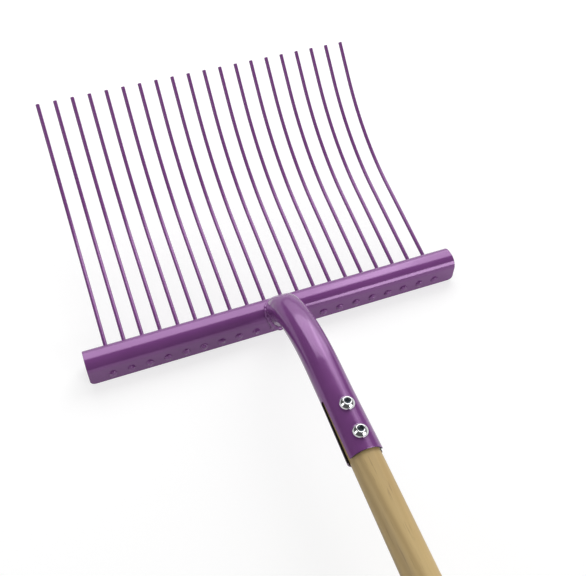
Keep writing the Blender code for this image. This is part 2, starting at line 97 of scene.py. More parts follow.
# Softboxes: name, degrees round from the front, degrees up, distance, width and height, brightness
SOFTBOXES = (
    ("softbox_front", 22, 33, 1.9, (3.0, 2.2), 1.2),
    ("softbox_key", 7, 44.4, 0.7, (0.75, 0.54), 1.8),
    ("softbox_right", 44.8, 33, 1.5, (0.69, 1.0), 1.6),
    ("softbox_left", -95, 24, 1.0, (0.4, 0.8), 2.0),
    ("softbox_behind", 147, 18, 1.5, (0.84, 0.8), 5.0),
)
LIT_PLACE = Vector((0, HEADER_LOW.y - 0.05, 0.08))
FLOOR_REACH = 8.0
FLOOR_DROP = 0.0002


def number(name, description, default, **options):
    return bpy.props.FloatProperty(name=name, description=description, default=default, **options)


def length(name, description, default):
    return number(name, description, default, unit="LENGTH", precision=5)


def turn(name, description, degrees):
    return number(name, description, math.radians(degrees), subtype="ANGLE")


def factor(name, description, default):
    return number(name, description, default, subtype="FACTOR")


def facets(name, description, default):
    return bpy.props.IntProperty(name=name, description=description, default=default)


def triple(name, description, default, subtype, **options):
    return bpy.props.FloatVectorProperty(name=name, description=description, default=default,
                                         subtype=subtype, size=3, **options)


def colour(name, description, default):
    return triple(name, description, default, "COLOR", min=0, max=1)


class ForkSizes(bpy.types.PropertyGroup):
    """Sizes of the visible pieces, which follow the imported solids."""

    gap: length("Gap", "Space between pieces that touch", 0.0003)
    tine_diameter: length("Tine diameter", "Thickness of each round rod", 0.0042)
    tine_height: length("Tine height", "Height of a tine's middle at the header's rear wall", 0.01115)
    tine_rise: turn("Tine rise", "Slope of a tine's first straight part", 12)
    tine_straight: length("Tine straight", "Length of a tine's first straight part", 0.134)
    tine_bow_radius: length("Tine bow radius", "Radius of a tine's bow", 0.2614)
    tine_bow: turn("Tine bow", "Angle that a tine's bow turns through", 32)
    tine_end: length("Tine end", "Length of the straight part at a tine's tip", 0.04088)
    tine_tip_round: length("Tine tip rounding", "Rounding at the edge of a tine's tip", 0.0006)
    plug_radius: length("Plug weld radius", "Half the width of the weld behind each tine", 0.0041)
    plug_height: length("Plug weld height", "How far each weld stands out of the header", 0.0020)
    plug_drop: length("Plug weld drop", "How far each weld sags below its tine", 0.0018)
    header_bend: length("Header bend", "Outer radius of the header's two folds", 0.0115)
    header_gauge: length("Header gauge", "Thickness of the header's sheet", 0.002)
    header_corner: length("Header corner", "Rounding of the walls' lower corners", 0.0055)
    neck_diameter: length("Neck diameter", "Outer diameter of the neck's tube", 0.0318)
    neck_wall: length("Neck wall", "Thickness of the neck's tube", 0.0016)
    neck_bend: length("Neck bend", "Radius of the neck's long bend", 0.1741)
    elbow_radius: length("Elbow radius", "Radius of the tight bend at the header", 0.0639)
    elbow_rise: turn("Elbow start", "Slope of the neck where the tight bend starts", 25.65)
    neck_rise: turn("Neck rise", "Slope of the neck at the header", 63.24)
    foot_forward: length("Foot forward", "Where the tight bend ends, ahead of the rear wall", 0.004265)
    foot_height: length("Foot height", "Height at which the tight bend ends", 0.028981)
    foot_length: length("Foot length", "Tube past the tight bend, before it is cut", 0.024)
    flat_rise: turn("Flat rise", "How far up the elbow's pressed front faces", 38)
    flat_proud: length("Flat proud", "How far the pressed front stands outside the fold", 0.001)
    flat_blend: length("Flat blend", "How softly the pressed front runs into the round tube", 0.002)
    bead_diameter: length("Bead diameter", "Thickness of the bead round the neck's foot", 0.0048)
    bead_front: length("Bead front", "Thickness of that bead at the header's front", 0.0016)
    socket_length: length("Socket length", "Length of the straight socket", 0.0922)
    socket_flare: length("Socket flare", "How much the socket's radius grows to its mouth", 0.0009)
    socket_roll: turn("Socket roll", "How far the slits and screws are turned round the socket", 3)
    slit_length: length("Slit length", "Length of the slits from the mouth", 0.0605)
    slit_end: length("Slit end width", "Width of the slits' closed end", 0.0058)
    slit_mouth: length("Slit mouth width", "Width of the slits at the mouth", 0.0083)
    slit_offset: length("Slit offset", "Height of the slits' lower edge above the axis", -0.0015)
    handle_drop: turn("Handle drop", "Slope of the handle", 2.81892777)
    handle_length: length("Handle length", "Length of the wooden handle", 1.2)
    handle_depth: length("Handle depth", "How deep the handle sits in the socket", 0.085)
    handle_taper: number("Handle taper", "Slope of the handle's seat", 0.0045)
    grip_diameter: length("Grip diameter", "Thickness of the handle's grip", 0.0318)
    grip_start: factor("Grip start", "Where the grip reaches its full thickness", 0.62)
    butt_radius: length("Butt radius", "Rounding of the handle's butt", 0.010)
    screw_diameter: length("Screw diameter", "Thickness of the screws' shank", 0.008)
    head_diameter: length("Head diameter", "Width of the screws' head", 0.014)
    head_height: length("Head height", "Height of the screws' head", 0.0044)
    head_rim: length("Head rim", "Height of the straight edge below the head's crown", 0.0005)
    head_ring: length("Head ring", "Width of the raised ring round the recess", 0.0086)
    ring_proud: length("Ring height", "How far that ring stands out of the head's crown", 0.0003)
    hex_width: length("Hexagon width", "Width across flats of the screws' recess", 0.005)
    hex_depth: length("Hexagon depth", "Depth of the screws' recess", 0.0027)
    screw_overhang: length("Screw overhang", "How far the screws stand out of their nuts", 0.002)
    thread_pitch: length("Thread pitch", "Rise of the screws' thread in one turn", 0.00125)
    screw_mouth: length("Screw to mouth", "Distance from the rear screw to the mouth", 0.0167)
    screw_spacing: length("Screw spacing", "Distance between the two screws", 0.0284)
    nut_width: length("Nut width", "Width across flats of the nuts", 0.013)
    nut_height: length("Nut height", "Height of the nuts", 0.0065)
    tine_sides: facets("Tine sides", "Facets round a tine", 20)
    tube_sides: facets("Tube sides", "Facets round the neck and handle", 72)


class ForkColours(bpy.types.PropertyGroup):
    """Colours of the finishes."""

    paint: colour("Paint", "Purple of the steel pieces", (0.211, 0.062, 0.246))
    paint_thin: colour("Thin paint", "Purple where the paint lies thin", (0.226, 0.069, 0.262))
    # Mill scale is near-black so that it also stands as painted shade in the socket's bore and slits
    scale: colour("Mill scale", "Dark steel in the tube and on its cut edges", (0.012, 0.010, 0.012))
    scale_brown: colour("Brown scale", "Patches in the dark steel", (0.030, 0.022, 0.020))
    wood_light: colour("Light wood", "Wood between the grain", (0.60, 0.44, 0.205))
    wood_dark: colour("Dark wood", "Wood in the grain", (0.49, 0.345, 0.155))
    wood_honey: colour("Honey wood", "Slow changes of shade along the shaft", (0.54, 0.385, 0.175))
    wood_pore: colour("Wood pores", "Short dark streaks in the wood", (0.33, 0.22, 0.10))
    chrome: colour("Chrome", "Plated screw heads", (0.78, 0.79, 0.80))
    chrome_haze: colour("Hazy chrome", "Haze on the screw heads", (0.60, 0.61, 0.63))
    plating: colour("Plating", "Plain plating of the nuts and threads", (0.62, 0.62, 0.60))
    plating_dull: colour("Dull plating", "Dull patches of that plating", (0.48, 0.48, 0.47))
    # The recess colours are darkened as painted shade of the hollow, with grease as well
    grime: colour("Grime", "Dark grease in the screws' recess", (0.080, 0.105, 0.135))
    pale_grime_and_shade: colour("Thin grime", "Steel that shows through the grease", (0.30, 0.34, 0.38))


class StudioSettings(bpy.types.PropertyGroup):
    """Camera, floor and lights."""

    camera_place: triple("Camera place", "Where the camera stands, from the header's rear wall",
                         (-0.1805, -0.47353, 0.67236), "XYZ")
    camera_turn: triple("Camera turn", "How the camera is turned",
                        tuple(map(math.radians, (39.9984, -0.9398, -20.9377))), "EULER")
    lens: number("Lens", "Focal length in millimetres", 48.318)
    room: factor("Room", "Brightness of the room round the fork", 0.22)
    room_gloss: factor("Room in gloss", "Brightness of the room in reflections", 0.10)
    floor: factor("Floor", "How much of the light the floor throws back", 0.36)
    floor_glow: factor("Floor glow", "What lifts the floor to white for the camera", 0.68)
    floor_gloss: factor("Floor in gloss", "What lifts the floor in reflections", 0.50)
    fade_start: length("Fade start", "Distance at which the floor starts to fade to white", 0.95)
    fade_end: length("Fade end", "Distance at which the floor is all white", 2.2)


def sizes():
    return bpy.context.scene.fork_sizes


def colours():
    return bpy.context.scene.fork_colours


def studio():
    return bpy.context.scene.fork_studio


# Where things are


def along(forward, height, rise):
    """Frame in the fork's middle plane whose Z axis points forward, tilted up by the rise."""
    place = Matrix.Translation((0, HEADER_LOW.y + forward, height))
    return place @ Matrix.Rotation(rise - math.pi / 2, 4, "X")


def arc(centre, radius, start, angle, steps):
    """Points of an arc in a plane, both ends included."""
    points = []
    for step in range(steps + 1):
        now = start + angle * step / steps
        points.append((centre[0] + radius * math.cos(now), centre[1] + radius * math.sin(now)))
    return points


def bend_frame(angle):
    """Frame on the neck's axis, where it runs down at this angle: in the long bend or in the elbow."""
    s = sizes()
    steep = max(angle, s.elbow_rise)
    shallow = min(angle, s.elbow_rise)
    forward = s.foot_forward - s.elbow_radius * (math.sin(s.neck_rise) - math.sin(steep))
    height = s.foot_height + s.elbow_radius * (math.cos(steep) - math.cos(s.neck_rise))
    forward -= s.neck_bend * (math.sin(s.elbow_rise) - math.sin(shallow))
    height += s.neck_bend * (math.cos(shallow) - math.cos(s.elbow_rise))
    return along(forward, height, -angle)


def foot_frame(distance):
    """Frame on the neck's axis, this far past the elbow's end at the header."""
    return bend_frame(sizes().neck_rise) @ Matrix.Translation((0, 0, distance))


def pressed(point, inset):
    """The point, moved back onto the elbow's flat if it stands in front. The inset is for the bore."""
    s = sizes()
    facing = Vector((0, math.cos(s.flat_rise), math.sin(s.flat_rise)))
    centre = Vector((0, HEADER_HIGH.y - s.header_bend, HEADER_HIGH.z - s.header_bend))
    excess = (point - centre).dot(facing) - (s.header_bend + s.flat_proud - inset)
    if excess >= s.flat_blend:
        return point - facing * excess
    if excess > -s.flat_blend:
        return point - facing * (excess + s.flat_blend) ** 2 / (4 * s.flat_blend)
    return point


def socket_frame(distance):
    """Frame on the socket's axis, this far behind the bend."""
    return bend_frame(-sizes().handle_drop) @ Matrix.Translation((0, 0, -distance))


def screw_frame(distance):
    """Frame of a screw, this far behind the bend: Y forward along the socket, Z up along the shank."""
    upright = socket_frame(distance) @ Matrix.Rotation(math.pi / 2, 4, "X")
    return upright @ Matrix.Rotation(sizes().socket_roll, 4, "Y")


def screw_places():
    """How far behind the bend the front and the rear screw are."""
    s = sizes()
    rear = s.socket_length - s.screw_mouth
    return (rear - s.screw_spacing, rear)


def screw_seat(distance):
    """How far from the socket's axis the head of a screw and its nut sit."""
    s = sizes()
    return s.neck_diameter / 2 + socket_growth(distance) + s.gap


def socket_growth(distance):
    """What the flare adds to the socket's radius, this far behind the bend."""
    s = sizes()
    return s.socket_flare * max(0.0, distance - (s.socket_length - s.slit_length)) / s.slit_length


def folds(outside, front_angle, steps):
    """The header's two folds seen from its end, as (forward, height), this far outside its surface."""
    s = sizes()
    radius = s.header_bend + outside
    spring = HEADER_HIGH.z - s.header_bend
    rear = arc((s.header_bend, spring), radius, math.pi, -math.pi / 2, steps)
    front = arc((HEADER_DEPTH - s.header_bend, spring), radius, math.pi / 2, front_angle, steps)
    return rear + front


def saddle_outline():
    """The header's top with the gap above it, from its rear wall to halfway down its front fold."""
    return folds(sizes().gap, -math.pi / 4, SADDLE_STEPS)


def saddle_height(forward):
    outline = saddle_outline()
    for first, second in zip(outline, outline[1:]):
        if first[0] <= forward <= second[0]:
            return first[1] + (second[1] - first[1]) * (forward - first[0]) / (second[0] - first[0])
    return outline[-1][1]


def saddle_point(angle):
    """Where the neck's outside, this far round from its underside, meets the header, and the way out
    of the tube there."""
    s = sizes()
    offset = Vector((math.sin(angle), math.cos(angle), 0)) * s.neck_diameter / 2
    low, high = -s.foot_length, s.elbow_radius * (s.neck_rise - s.elbow_rise)
    halvings = 30
    for _ in range(halvings):
        middle = (low + high) / 2
        place = foot_frame(-middle) if middle < 0 else bend_frame(s.neck_rise - middle / s.elbow_radius)
        point = pressed(place @ offset, 0.0)
        forward = point.y - HEADER_LOW.y
        if forward > -s.gap and point.z < saddle_height(forward):
            low = middle
        else:
            high = middle
    return point, (point - place.translation).normalized()


def tine_places():
    """Where each tine stands along the header."""
    return [sum(corner.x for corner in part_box(name)) / 2 for name in TINE_NODES]


# Mesh helpers


def on_axis(place, profile):
    """Rings for a loft, from (height, radius) pairs along this frame's Z axis."""
    return [(place @ Matrix.Translation((0, 0, height)), radius) for height, radius in profile]


def loft(bm, rings, sides, close=False):
    """Extrudes a circle through rings, given as (matrix, radius), and caps both ends. With close, the
    last ring is extruded back to the first instead. Returns the vertices of each ring."""
    places = [matrix @ Matrix.Diagonal((radius, radius, 1, 1)) for matrix, radius in rings]
    if close:
        places.append(places[0])
    verts = bmesh.ops.create_circle(bm, cap_ends=not close, radius=1, segments=sides,
                                    matrix=places[0])["verts"]
    edges = list({edge for vert in verts for edge in vert.link_edges})
    loops = [verts]
    for place, following in zip(places, places[1:]):
        grown = bmesh.ops.extrude_edge_only(bm, edges=edges)["geom"]
        verts = [item for item in grown if isinstance(item, bmesh.types.BMVert)]
        edges = [item for item in grown if isinstance(item, bmesh.types.BMEdge)]
        bmesh.ops.transform(bm, matrix=following @ place.inverted(), verts=verts)
        loops.append(verts)
    if close:
        bmesh.ops.remove_doubles(bm, verts=bm.verts, dist=0.000002)
    else:
        bmesh.ops.contextual_create(bm, geom=edges)
    return loops


def prism(name, outline, direction):
    """Makes an object from an extruded outline."""
    bm = bmesh.new()
    face = bm.faces.new([bm.verts.new(point) for point in outline])
    grown = bmesh.ops.extrude_face_region(bm, geom=[face])["geom"]
    verts = [item for item in grown if isinstance(item, bmesh.types.BMVert)]
    bmesh.ops.translate(bm, vec=direction, verts=verts)
    return object_from(bm, name)


def drills(name, places, low, high, radius, sides):
    """Makes a tool of round rods along the Z axes of these frames."""
    bm = bmesh.new()
    for place in places:
        loft(bm, on_axis(place, [(low, radius), (high, radius)]), sides)
    return object_from(bm, name)


def object_from(bm, name):
    bmesh.ops.recalc_face_normals(bm, faces=bm.faces)
    mesh = bpy.data.meshes.new(name)
    bm.to_mesh(mesh)
    bm.free()
    obj = bpy.data.objects.new(name, mesh)
    bpy.context.scene.collection.objects.link(obj)
    return obj


def cut(obj, tool, operation="DIFFERENCE"):
    """Cuts one object with another at once, and throws the tool away."""
    boolean = obj.modifiers.new("cut", "BOOLEAN")
    boolean.operation = operation
    boolean.solver = "EXACT"
    boolean.object = tool
    freeze(obj)
    bpy.data.objects.remove(tool, do_unlink=True)


def freeze(obj):
    """Keeps what the modifiers make as the mesh."""
    graph = bpy.context.evaluated_depsgraph_get()
    mesh = bpy.data.meshes.new_from_object(obj.evaluated_get(graph))
    obj.modifiers.clear()
    obj.data = mesh


def soften(obj, width, angle):
    """Rounds edges sharper than this angle in degrees."""
    bevel = obj.modifiers.new("soften", "BEVEL")
    bevel.width = width
    bevel.segments = 2
    bevel.limit_method = "ANGLE"
    bevel.angle_limit = math.radians(angle)
    bevel.use_clamp_overlap = True
    freeze(obj)


def smooth(obj, angle=35):
    """Shades an object smooth, but for edges sharper than this angle in degrees."""
    obj.data.shade_smooth()
    obj.data.set_sharp_from_angle(angle=math.radians(angle))
    weights = obj.modifiers.new("even shading", "WEIGHTED_NORMAL")
    weights.keep_sharp = True
    freeze(obj)


def finish_piece(obj, finishes, slot, *nodes):
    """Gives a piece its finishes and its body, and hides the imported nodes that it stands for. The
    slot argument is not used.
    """
    obj.data.materials.clear()
    for finish in finishes:
        obj.data.materials.append(finish)
    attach(obj, "root")
    if nodes:
        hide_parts(*nodes)


# Finishes


class Link:
    """An output of a node that takes part in Python sums, each of which adds a Math node."""

    def __init__(self, nodes, socket):
        self.nodes = nodes
        self.socket = socket

    def join(self, operation, first, second):
        return self.nodes.add("ShaderNodeMath", {"operation": operation}, {0: first, 1: second})

    def __add__(self, other):
        return self.join("ADD", self, other)

    def __radd__(self, other):
        return self.join("ADD", other, self)

    def __mul__(self, other):
        return self.join("MULTIPLY", self, other)

    def __rmul__(self, other):
        return self.join("MULTIPLY", other, self)


class Nodes:
    """A node tree whose nodes are all added by one method."""

    def __init__(self, tree):
        self.tree = tree

    def add(self, kind, settings, inputs, output=0):
        """Adds a node with these settings, then these values or links, and gives its output."""
        node = self.tree.nodes.new(kind)
        for name, value in settings.items():
            setattr(node, name, value)
        for name, value in inputs.items():
            self.feed(node.inputs[name], value)
        return Link(self, node.outputs[output])

    def feed(self, socket, value):
        """Gives a socket a link, a colour of three numbers or a plain value."""
        if isinstance(value, Link):
            self.tree.links.new(value.socket, socket)
        elif isinstance(value, tuple) and len(value) == 3 and socket.type == "RGBA":
            socket.default_value = (*value, 1)
        else:
            socket.default_value = value


class Recipe(Nodes):
    """One finish: a material and its shader."""

    def __init__(self, name, **constants):
        self.material = bpy.data.materials.new(name)
        self.material.use_nodes = True
        super().__init__(self.material.node_tree)
        self.shader = self.tree.nodes["Principled BSDF"]
        for socket, value in constants.items():
            self.feed(self.shader.inputs[socket.replace("_", " ")], value)
        self.place = self.add("ShaderNodeTexCoord", {}, {}, "Object")

    def speckle(self, place, scale, detail=2.0, roughness=0.5):
        inputs = {"Vector": place, "Scale": scale, "Detail": detail, "Roughness": roughness}
        return self.add("ShaderNodeTexNoise", {}, inputs)

    def stretched(self, scale, rotation):
        inputs = {"Vector": self.place, "Scale": scale, "Rotation": rotation}
        return self.add("ShaderNodeMapping", {}, inputs)

    def spread(self, value, low, high, to_low=0.0, to_high=1.0):
        inputs = {0: value, 1: low, 2: high, 3: to_low, 4: to_high}
        return self.add("ShaderNodeMapRange", {"clamp": True}, inputs)

    def blend(self, factor, first, second):
        return self.add("ShaderNodeMix", {"data_type": "RGBA"}, {0: factor, 6: first, 7: second}, 2)

    def finish(self, shade, roughness, relief, depth, strength):
        """Feeds the shader, with a relief of this depth, and gives the material."""
        inputs = {"Strength": strength, "Distance": depth, "Height": relief}
        bump = self.add("ShaderNodeBump", {}, inputs)
        for name, value in (("Base Color", shade), ("Roughness", roughness), ("Normal", bump)):
            self.feed(self.shader.inputs[name], value)
        return self.material


def hue(name):
    return tuple(getattr(colours(), name))


def made_once(maker):
    """Keeps each finish after its first use, so that all pieces share it."""
    kept = {}

    def get():
        if maker not in kept:
            kept[maker] = maker()
        return kept[maker]

    return get


@made_once
def gloss_paint():
    """Purple gloss paint with a faint orange peel and a little uneven cover."""
    r = Recipe("gloss_paint", Metallic=0.18, Coat_Weight=0.2, Coat_Roughness=0.05)
    peel = r.speckle(r.place, 420.0)
    cover = r.speckle(r.place, 38.0, detail=3.0)
    haze = r.speckle(r.place, 95.0, detail=4.0, roughness=0.6)
    shade = r.blend(r.spread(cover, 0.35, 0.7), hue("paint"), hue("paint_thin"))
    roughness = r.spread(haze, 0.3, 0.7, 0.15, 0.20)
    return r.finish(shade, roughness, peel, depth=0.00003, strength=0.5)


@made_once
def mill_scale():
    """Dark bare steel inside the tube and on its sawn edges, near-black so that it also serves as
    painted shade in the bore and the slits.
    """
    r = Recipe("mill_scale", Specular_IOR_Level=0.3)
    grain = r.speckle(r.place, 900.0, detail=4.0, roughness=0.65)
    patches = r.speckle(r.place, 160.0, detail=3.0)
    shade = r.blend(r.spread(patches, 0.4, 0.7), hue("scale"), hue("scale_brown"))
    roughness = r.spread(grain, 0.3, 0.7, 0.5, 0.7)
    return r.finish(shade, roughness, grain, depth=0.00005, strength=0.7)


@made_once
def turned_wood():
    """Smooth turned wood: long grain, short pores and slow changes of shade along the shaft."""
    r = Recipe("turned_wood", Coat_Weight=0.12, Coat_Roughness=0.25, Specular_IOR_Level=0.4)
    slope = (-sizes().handle_drop, 0, 0)
    streaks = r.speckle(r.stretched((330, 5, 330), slope), 1.0, detail=4.0, roughness=0.6)
    rings = r.add("ShaderNodeTexWave", {"wave_type": "BANDS", "bands_direction": "DIAGONAL"},
                  {"Vector": r.stretched((60, 1.1, 60), slope), "Scale": 0.75, "Distortion": 5.5,
                   "Detail": 3.0, "Detail Scale": 0.9})
    pores = r.speckle(r.stretched((900, 26, 900), slope), 1.0)
    slow = r.speckle(r.stretched((24, 3, 24), slope), 1.0)
    grain = r.spread(streaks * 0.55 + rings * 0.45, 0.25, 0.75)
    shade = r.blend(grain, hue("wood_dark"), hue("wood_light"))
    shade = r.blend(r.spread(slow, 0.3, 0.7, 0.0, 0.35), shade, hue("wood_honey"))
    shade = r.blend(r.spread(pores, 0.62, 0.72, 0.0, 0.55), shade, hue("wood_pore"))
    roughness = r.spread(streaks, 0.3, 0.7, 0.42, 0.55)
    return r.finish(shade, roughness, streaks * 0.6 + pores * -0.5, depth=0.00006, strength=0.8)


@made_once
def bright_chrome():
    """Polished plating with faint turning marks."""
    r = Recipe("bright_chrome", Metallic=1.0)
    haze = r.speckle(r.place, 700.0, detail=3.0)
    shade = r.blend(r.spread(haze, 0.4, 0.75, 0.0, 0.3), hue("chrome"), hue("chrome_haze"))
    roughness = r.spread(haze, 0.3, 0.7, 0.05, 0.10)
    return r.finish(shade, roughness, haze, depth=0.00001, strength=0.3)


@made_once
def dull_plating():
    """Plating on the nuts and threads, a little hazy."""
    r = Recipe("dull_plating", Metallic=1.0)
    haze = r.speckle(r.place, 500.0, detail=4.0, roughness=0.6)
    shade = r.blend(r.spread(haze, 0.4, 0.7), hue("plating"), hue("plating_dull"))
    roughness = r.spread(haze, 0.3, 0.7, 0.22, 0.34)
    return r.finish(shade, roughness, haze, depth=0.00002, strength=0.5)


@made_once
def recess_grime():
    """The dark recess of a screw: painted shade of the hollow, with grease in its corners."""
    r = Recipe("recess_grime", Metallic=0.8)
    smear = r.speckle(r.place, 900.0, detail=3.0)
    shade = r.blend(r.spread(smear, 0.4, 0.6), hue("grime"), hue("pale_grime_and_shade"))
    roughness = r.spread(smear, 0.3, 0.7, 0.25, 0.45)
    return r.finish(shade, roughness, smear, depth=0.00002, strength=0.5)


# Tines


def tine_rings(place):
    """Rings of one tine, from inside its plug weld to its tip."""
    s = sizes()
    shift = Matrix.Translation((place, 0, 0))
    radius = s.tine_diameter / 2
    forward, height, slope = 0.0, s.tine_height, s.tine_rise
    rings = [(along(forward - s.gap, height, slope), radius)]
    forward += s.tine_straight * math.cos(slope)
    height += s.tine_straight * math.sin(slope)
    rings.append((along(forward, height, slope), radius))
    start = (forward, height)
    for step in range(1, BOW_STEPS + 1):
        slope = s.tine_rise + s.tine_bow * step / BOW_STEPS
        forward = start[0] + s.tine_bow_radius * (math.sin(slope) - math.sin(s.tine_rise))
        height = start[1] + s.tine_bow_radius * (math.cos(s.tine_rise) - math.cos(slope))
        rings.append((along(forward, height, slope), radius))
    tip = along(forward, height, slope)
    rounding = s.tine_tip_round
    travel, core = s.tine_end - 2 * rounding, radius - 2 * rounding
    edge = arc((rounding, rounding), rounding, math.pi / 2, -math.pi / 2, TIP_STEPS)
    profile = [(travel + back, core + inset) for back, inset in edge]
    return [(shift @ matrix, size) for matrix, size in rings + on_axis(tip, profile)]


class FORK_OT_tines(bpy.types.Operator):
    """Make the twenty round tines"""

    bl_idname = "fork.tines"
    bl_label = "Tines"

    def execute(self, context):
        for name, place in zip(TINE_NODES, tine_places()):
            bm = bmesh.new()
            loft(bm, tine_rings(place), sizes().tine_sides)
            rod = object_from(bm, name.replace("tine", "tine_rod"))
            smooth(rod)
            finish_piece(rod, [gloss_paint()], "paint", name)
        return {"FINISHED"}


class FORK_OT_plug_welds(bpy.types.Operator):
    """Make the lumpy weld behind each tine"""

    bl_idname = "fork.plug_welds"
    bl_label = "Plug welds"

    def execute(self, context):
        s = sizes()
        size = Matrix.Diagonal((s.plug_radius, s.plug_height + s.gap, s.plug_radius, 1))
        for index, place in enumerate(tine_places()):
            bm = bmesh.new()
            middle = Vector((place, HEADER_LOW.y, s.tine_height - s.plug_drop))
            bmesh.ops.create_icosphere(bm, subdivisions=4, radius=1.0,
                                       matrix=Matrix.Translation(middle) @ size)
            for vert in bm.verts:
                lump = noise.noise(vert.co * WELD_LUMPS + Vector((index * WELD_VARIETY, 0, 0)))
                vert.co += (vert.co - middle).normalized() * lump * WELD_LUMP
            bmesh.ops.bisect_plane(bm, geom=bm.verts[:] + bm.edges[:] + bm.faces[:], clear_outer=True,
                                   plane_co=(0, HEADER_LOW.y + s.gap, 0), plane_no=(0, 1, 0))
            bmesh.ops.holes_fill(bm, edges=[edge for edge in bm.edges if edge.is_boundary])
            weld = object_from(bm, f"plug_weld_{index + 1:02d}")
            smooth(weld)
            finish_piece(weld, [gloss_paint()], "paint")
        return {"FINISHED"}


# Header


class FORK_OT_header(bpy.types.Operator):
    """Fold the header's channel and drill it for the tines"""

    bl_idname = "fork.header"
    bl_label = "Header"

    def side(self, inset):
        """One side of the bent sheet seen from its end, this far inside the header's outside."""
        bent = folds(-inset, -math.pi / 2, FOLD_STEPS)
        return [(inset, 0.0)] + bent + [(HEADER_DEPTH - inset, 0.0)]

    def blank(self):
        """The header's outline from the front, with its rounded lower corners, as a tool."""
        corner = sizes().header_corner
        half = HEADER_HIGH.x
        past, top = 0.01, 0.04
        right = arc((half - corner, corner), corner, -math.pi / 2, math.pi / 2, CORNER_STEPS)
        left = arc((corner - half, corner), corner, math.pi, math.pi / 2, CORNER_STEPS)
        outline = left + right + [(half, top), (-half, top)]
        return prism("header_blank", [Vector((x, HEADER_LOW.y - past, z)) for x, z in outline],
                     (0, HEADER_DEPTH + 2 * past, 0))

    def holes(self):
        """A drill for each tine, from behind the rear wall to past the front wall."""
        s = sizes()
        places = [Matrix.Translation((place, 0, 0)) @ along(0, s.tine_height, s.tine_rise)
                  for place in tine_places()]
        radius = s.tine_diameter / 2 + s.gap / 2
        return drills("tine_holes", places, -0.004, 0.036, radius, s.tine_sides)

    def execute(self, context):
        half = HEADER_HIGH.x + 0.005
        section = self.side(0) + self.side(sizes().header_gauge)[::-1]
        header = prism("header_sheet", [Vector((-half, HEADER_LOW.y + y, z)) for y, z in section],
                       (2 * half, 0, 0))
        cut(header, self.blank(), "INTERSECT")
        soften(header, STEEL_EDGE, 50)
        cut(header, self.holes())
        smooth(header, 30)
        finish_piece(header, [gloss_paint()], "paint", "header_channel")
        return {"FINISHED"}


# Neck


